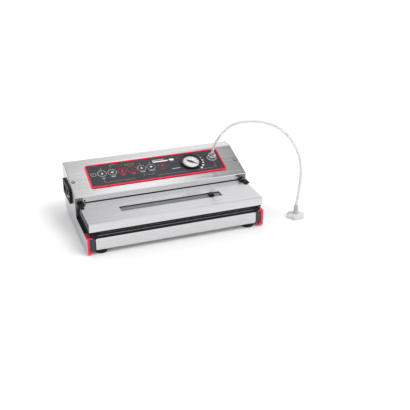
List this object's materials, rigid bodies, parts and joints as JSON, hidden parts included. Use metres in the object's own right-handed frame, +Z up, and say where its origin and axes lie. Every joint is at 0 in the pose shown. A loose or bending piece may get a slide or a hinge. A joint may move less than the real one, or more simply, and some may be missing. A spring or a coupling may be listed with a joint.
{
  "type": "external vacuum sealer",
  "caption": "Stainless bench vacuum sealer with a hinged sealing lid, bag cutter, sloping key panel, vacuum gauge and a suction hose with a container adapter.",
  "frame": {"origin": "middle of the box of the machine, without its hose and adapter, on the plane its four feet stand on", "axes": "+X along the machine to the right as the user sees it, -Y towards the user, +Z up; the lid is closed at rest"},
  "size_m": [0.5183, 0.237, 0.2203],
  "materials": {
    "steel": "fine brushed stainless steel sheet",
    "red_trim": "satin crimson plastic",
    "slate_plastic": "matte slate-grey plastic",
    "black_plastic": "fine-grained black plastic",
    "rubber": "matte black rubber",
    "seal_foam": "soft closed-cell sealing foam",
    "bar_aluminium": "satin aluminium",
    "heater_strip": "flat resistance-alloy strip",
    "silicone": "grey silicone rubber",
    "grey_plastic": "matte grey plastic",
    "pin_steel": "bright ground steel",
    "panel_foil": "fine-grained dark panel foil",
    "display": "smoked glossy window",
    "white_plastic": "satin white plastic",
    "gauge_glass": "clear polished lens",
    "needle_black": "matte black painted metal",
    "port_metal": "satin silver metal",
    "hose_tube": "clear flexible PVC tube",
    "transformer_core": "varnished laminated core",
    "circuit_board": "green circuit board"
  },
  "bodies": {
    "machine": {"side_panel_left": "steel", "side_panel_right": "steel", "side_trim_left": "red_trim", "side_trim_right": "red_trim", "corner_block_left": "slate_plastic", "corner_block_right": "slate_plastic", "base_pan": "steel", "front_strip": "steel", "foot_front_left": "rubber", "foot_front_right": "rubber", "foot_rear_left": "rubber", "foot_rear_right": "rubber", "base_tray": "black_plastic", "lower_gasket": "seal_foam", "seal_bar": "bar_aluminium", "heating_strip": "heater_strip", "housing_cover": "steel", "rear_panel": "steel", "hinge_bracket_left": "slate_plastic", "hinge_bracket_right": "slate_plastic", "foil_frame": "red_trim", "control_foil": "panel_foil", "display_window": "display", "gauge_case": "black_plastic", "gauge_dial": "white_plastic", "gauge_lens": "gauge_glass", "vacuum_port": "port_metal", "hose": "hose_tube", "hose_socket": "grey_plastic", "adapter_disc": "white_plastic", "inlet_housing": "black_plastic", "transformer": "transformer_core", "pump_motor": "bar_aluminium", "vacuum_pump": "black_plastic", "solenoid_valve": "black_plastic", "control_board": "circuit_board", "inner_hose": "hose_tube"},
    "lid": {"lid_shell": "steel", "lid_liner": "black_plastic", "upper_gasket": "seal_foam", "pressure_strip": "silicone", "cutter_rail": "grey_plastic", "hinge_knuckle_left": "black_plastic", "hinge_knuckle_right": "black_plastic", "hinge_pin_left": "pin_steel", "hinge_pin_right": "pin_steel"},
    "cutter": {"cutter_knob": "black_plastic", "cutter_blade": "pin_steel"},
    "needle": {"gauge_needle": "needle_black"},
    "key_power": {"key_power": "panel_foil"},
    "key_seal_time_up": {"key_seal_time_up": "panel_foil"},
    "key_seal_time_down": {"key_seal_time_down": "panel_foil"},
    "key_seal": {"key_seal": "panel_foil"},
    "key_auto_vacuum": {"key_auto_vacuum": "panel_foil"},
    "key_vacuum_level": {"key_vacuum_level": "panel_foil"},
    "key_manual_vacuum": {"key_manual_vacuum": "panel_foil"},
    "key_stop": {"key_stop": "panel_foil"},
    "rocker": {"rocker_switch": "black_plastic"},
    "nut": {"port_nut": "port_metal"}
  },
  "joints": [
    {"name": "lid_hinge", "type": "hinge", "parent": "machine", "child": "lid", "pos_m": [0.003, -0.021, 0.0735], "axis": [-1, 0, 0], "range_deg": [0, 80]},
    {"name": "cutter_slide", "type": "slide", "parent": "lid", "child": "cutter", "axis": [1, 0, 0], "range_m": [-0.2, 0.0155]},
    {"name": "gauge_needle_turn", "type": "hinge", "parent": "machine", "child": "needle", "pos_m": [0.0885, 0.04395, 0.11157], "axis": [0, -0.3148, 0.9492], "range_deg": [0, 270], "stiffness_Nm_per_rad": 0.001},
    {"name": "key_power_press", "type": "slide", "parent": "machine", "child": "key_power", "axis": [0, 0.3148, -0.9492], "range_m": [0, 0.00035], "stiffness_N_per_m": 3000},
    {"name": "key_seal_time_up_press", "type": "slide", "parent": "machine", "child": "key_seal_time_up", "axis": [0, 0.3148, -0.9492], "range_m": [0, 0.00035], "stiffness_N_per_m": 3000},
    {"name": "key_seal_time_down_press", "type": "slide", "parent": "machine", "child": "key_seal_time_down", "axis": [0, 0.3148, -0.9492], "range_m": [0, 0.00035], "stiffness_N_per_m": 3000},
    {"name": "key_seal_press", "type": "slide", "parent": "machine", "child": "key_seal", "axis": [0, 0.3148, -0.9492], "range_m": [0, 0.00035], "stiffness_N_per_m": 3000},
    {"name": "key_auto_vacuum_press", "type": "slide", "parent": "machine", "child": "key_auto_vacuum", "axis": [0, 0.3148, -0.9492], "range_m": [0, 0.00035], "stiffness_N_per_m": 3000},
    {"name": "key_vacuum_level_press", "type": "slide", "parent": "machine", "child": "key_vacuum_level", "axis": [0, 0.3148, -0.9492], "range_m": [0, 0.00035], "stiffness_N_per_m": 3000},
    {"name": "key_manual_vacuum_press", "type": "slide", "parent": "machine", "child": "key_manual_vacuum", "axis": [0, 0.3148, -0.9492], "range_m": [0, 0.00035], "stiffness_N_per_m": 3000},
    {"name": "key_stop_press", "type": "slide", "parent": "machine", "child": "key_stop", "axis": [0, 0.3148, -0.9492], "range_m": [0, 0.00035], "stiffness_N_per_m": 3000},
    {"name": "rocker_tip", "type": "hinge", "parent": "machine", "child": "rocker", "pos_m": [-0.1996, 0.046, 0.0745], "axis": [0, -1, 0], "range_deg": [0, 16]},
    {"name": "port_nut_turn", "type": "hinge", "parent": "machine", "child": "nut", "pos_m": [0.1425, 0.05157, 0.10925], "axis": [0, -0.3148, 0.9492], "continuous": true}
  ]
}
